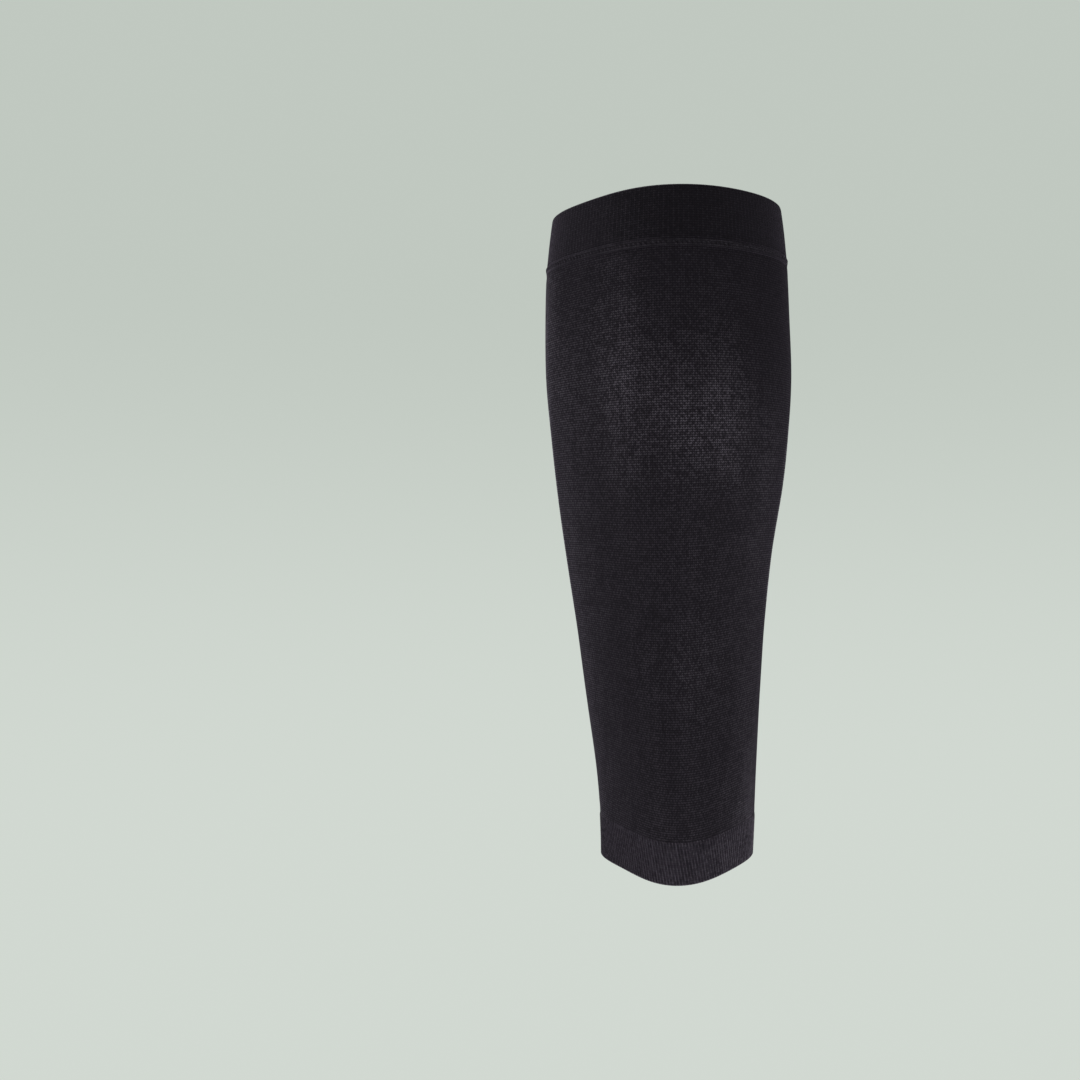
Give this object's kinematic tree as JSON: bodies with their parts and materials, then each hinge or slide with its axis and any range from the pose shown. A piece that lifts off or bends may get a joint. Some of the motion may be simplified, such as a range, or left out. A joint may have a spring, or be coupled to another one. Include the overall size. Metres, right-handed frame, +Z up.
{
  "type": "footless calf compression sleeve",
  "caption": "Black knitted tube, shaped as worn from below the knee to above the ankle, with a turned knee band on a raised seam and a ribbed ankle cuff; it presses on the calf.",
  "frame": {"origin": "middle of the leg at the widest girth of the calf, where the sleeve grips the leg", "axes": "+Z up the leg towards the knee, +X to the right as seen from behind, -Y out of the back of the calf"},
  "size_m": [0.1164, 0.1213, 0.3104],
  "materials": {
    "band_knit": "matte black double knit, turned over, with fine upright ribs",
    "seam_yarn": "matte black linking yarn, gathered into a raised line",
    "leg_knit": "matte black stretch knit with small staggered stitches and a faint sheen at the edges",
    "rib_knit": "matte black one-by-one rib knit"
  },
  "bodies": {
    "root": {"top_band": "band_knit", "linking_seam": "seam_yarn", "calf_tube": "leg_knit", "ankle_cuff": "rib_knit"}
  },
  "joints": []
}
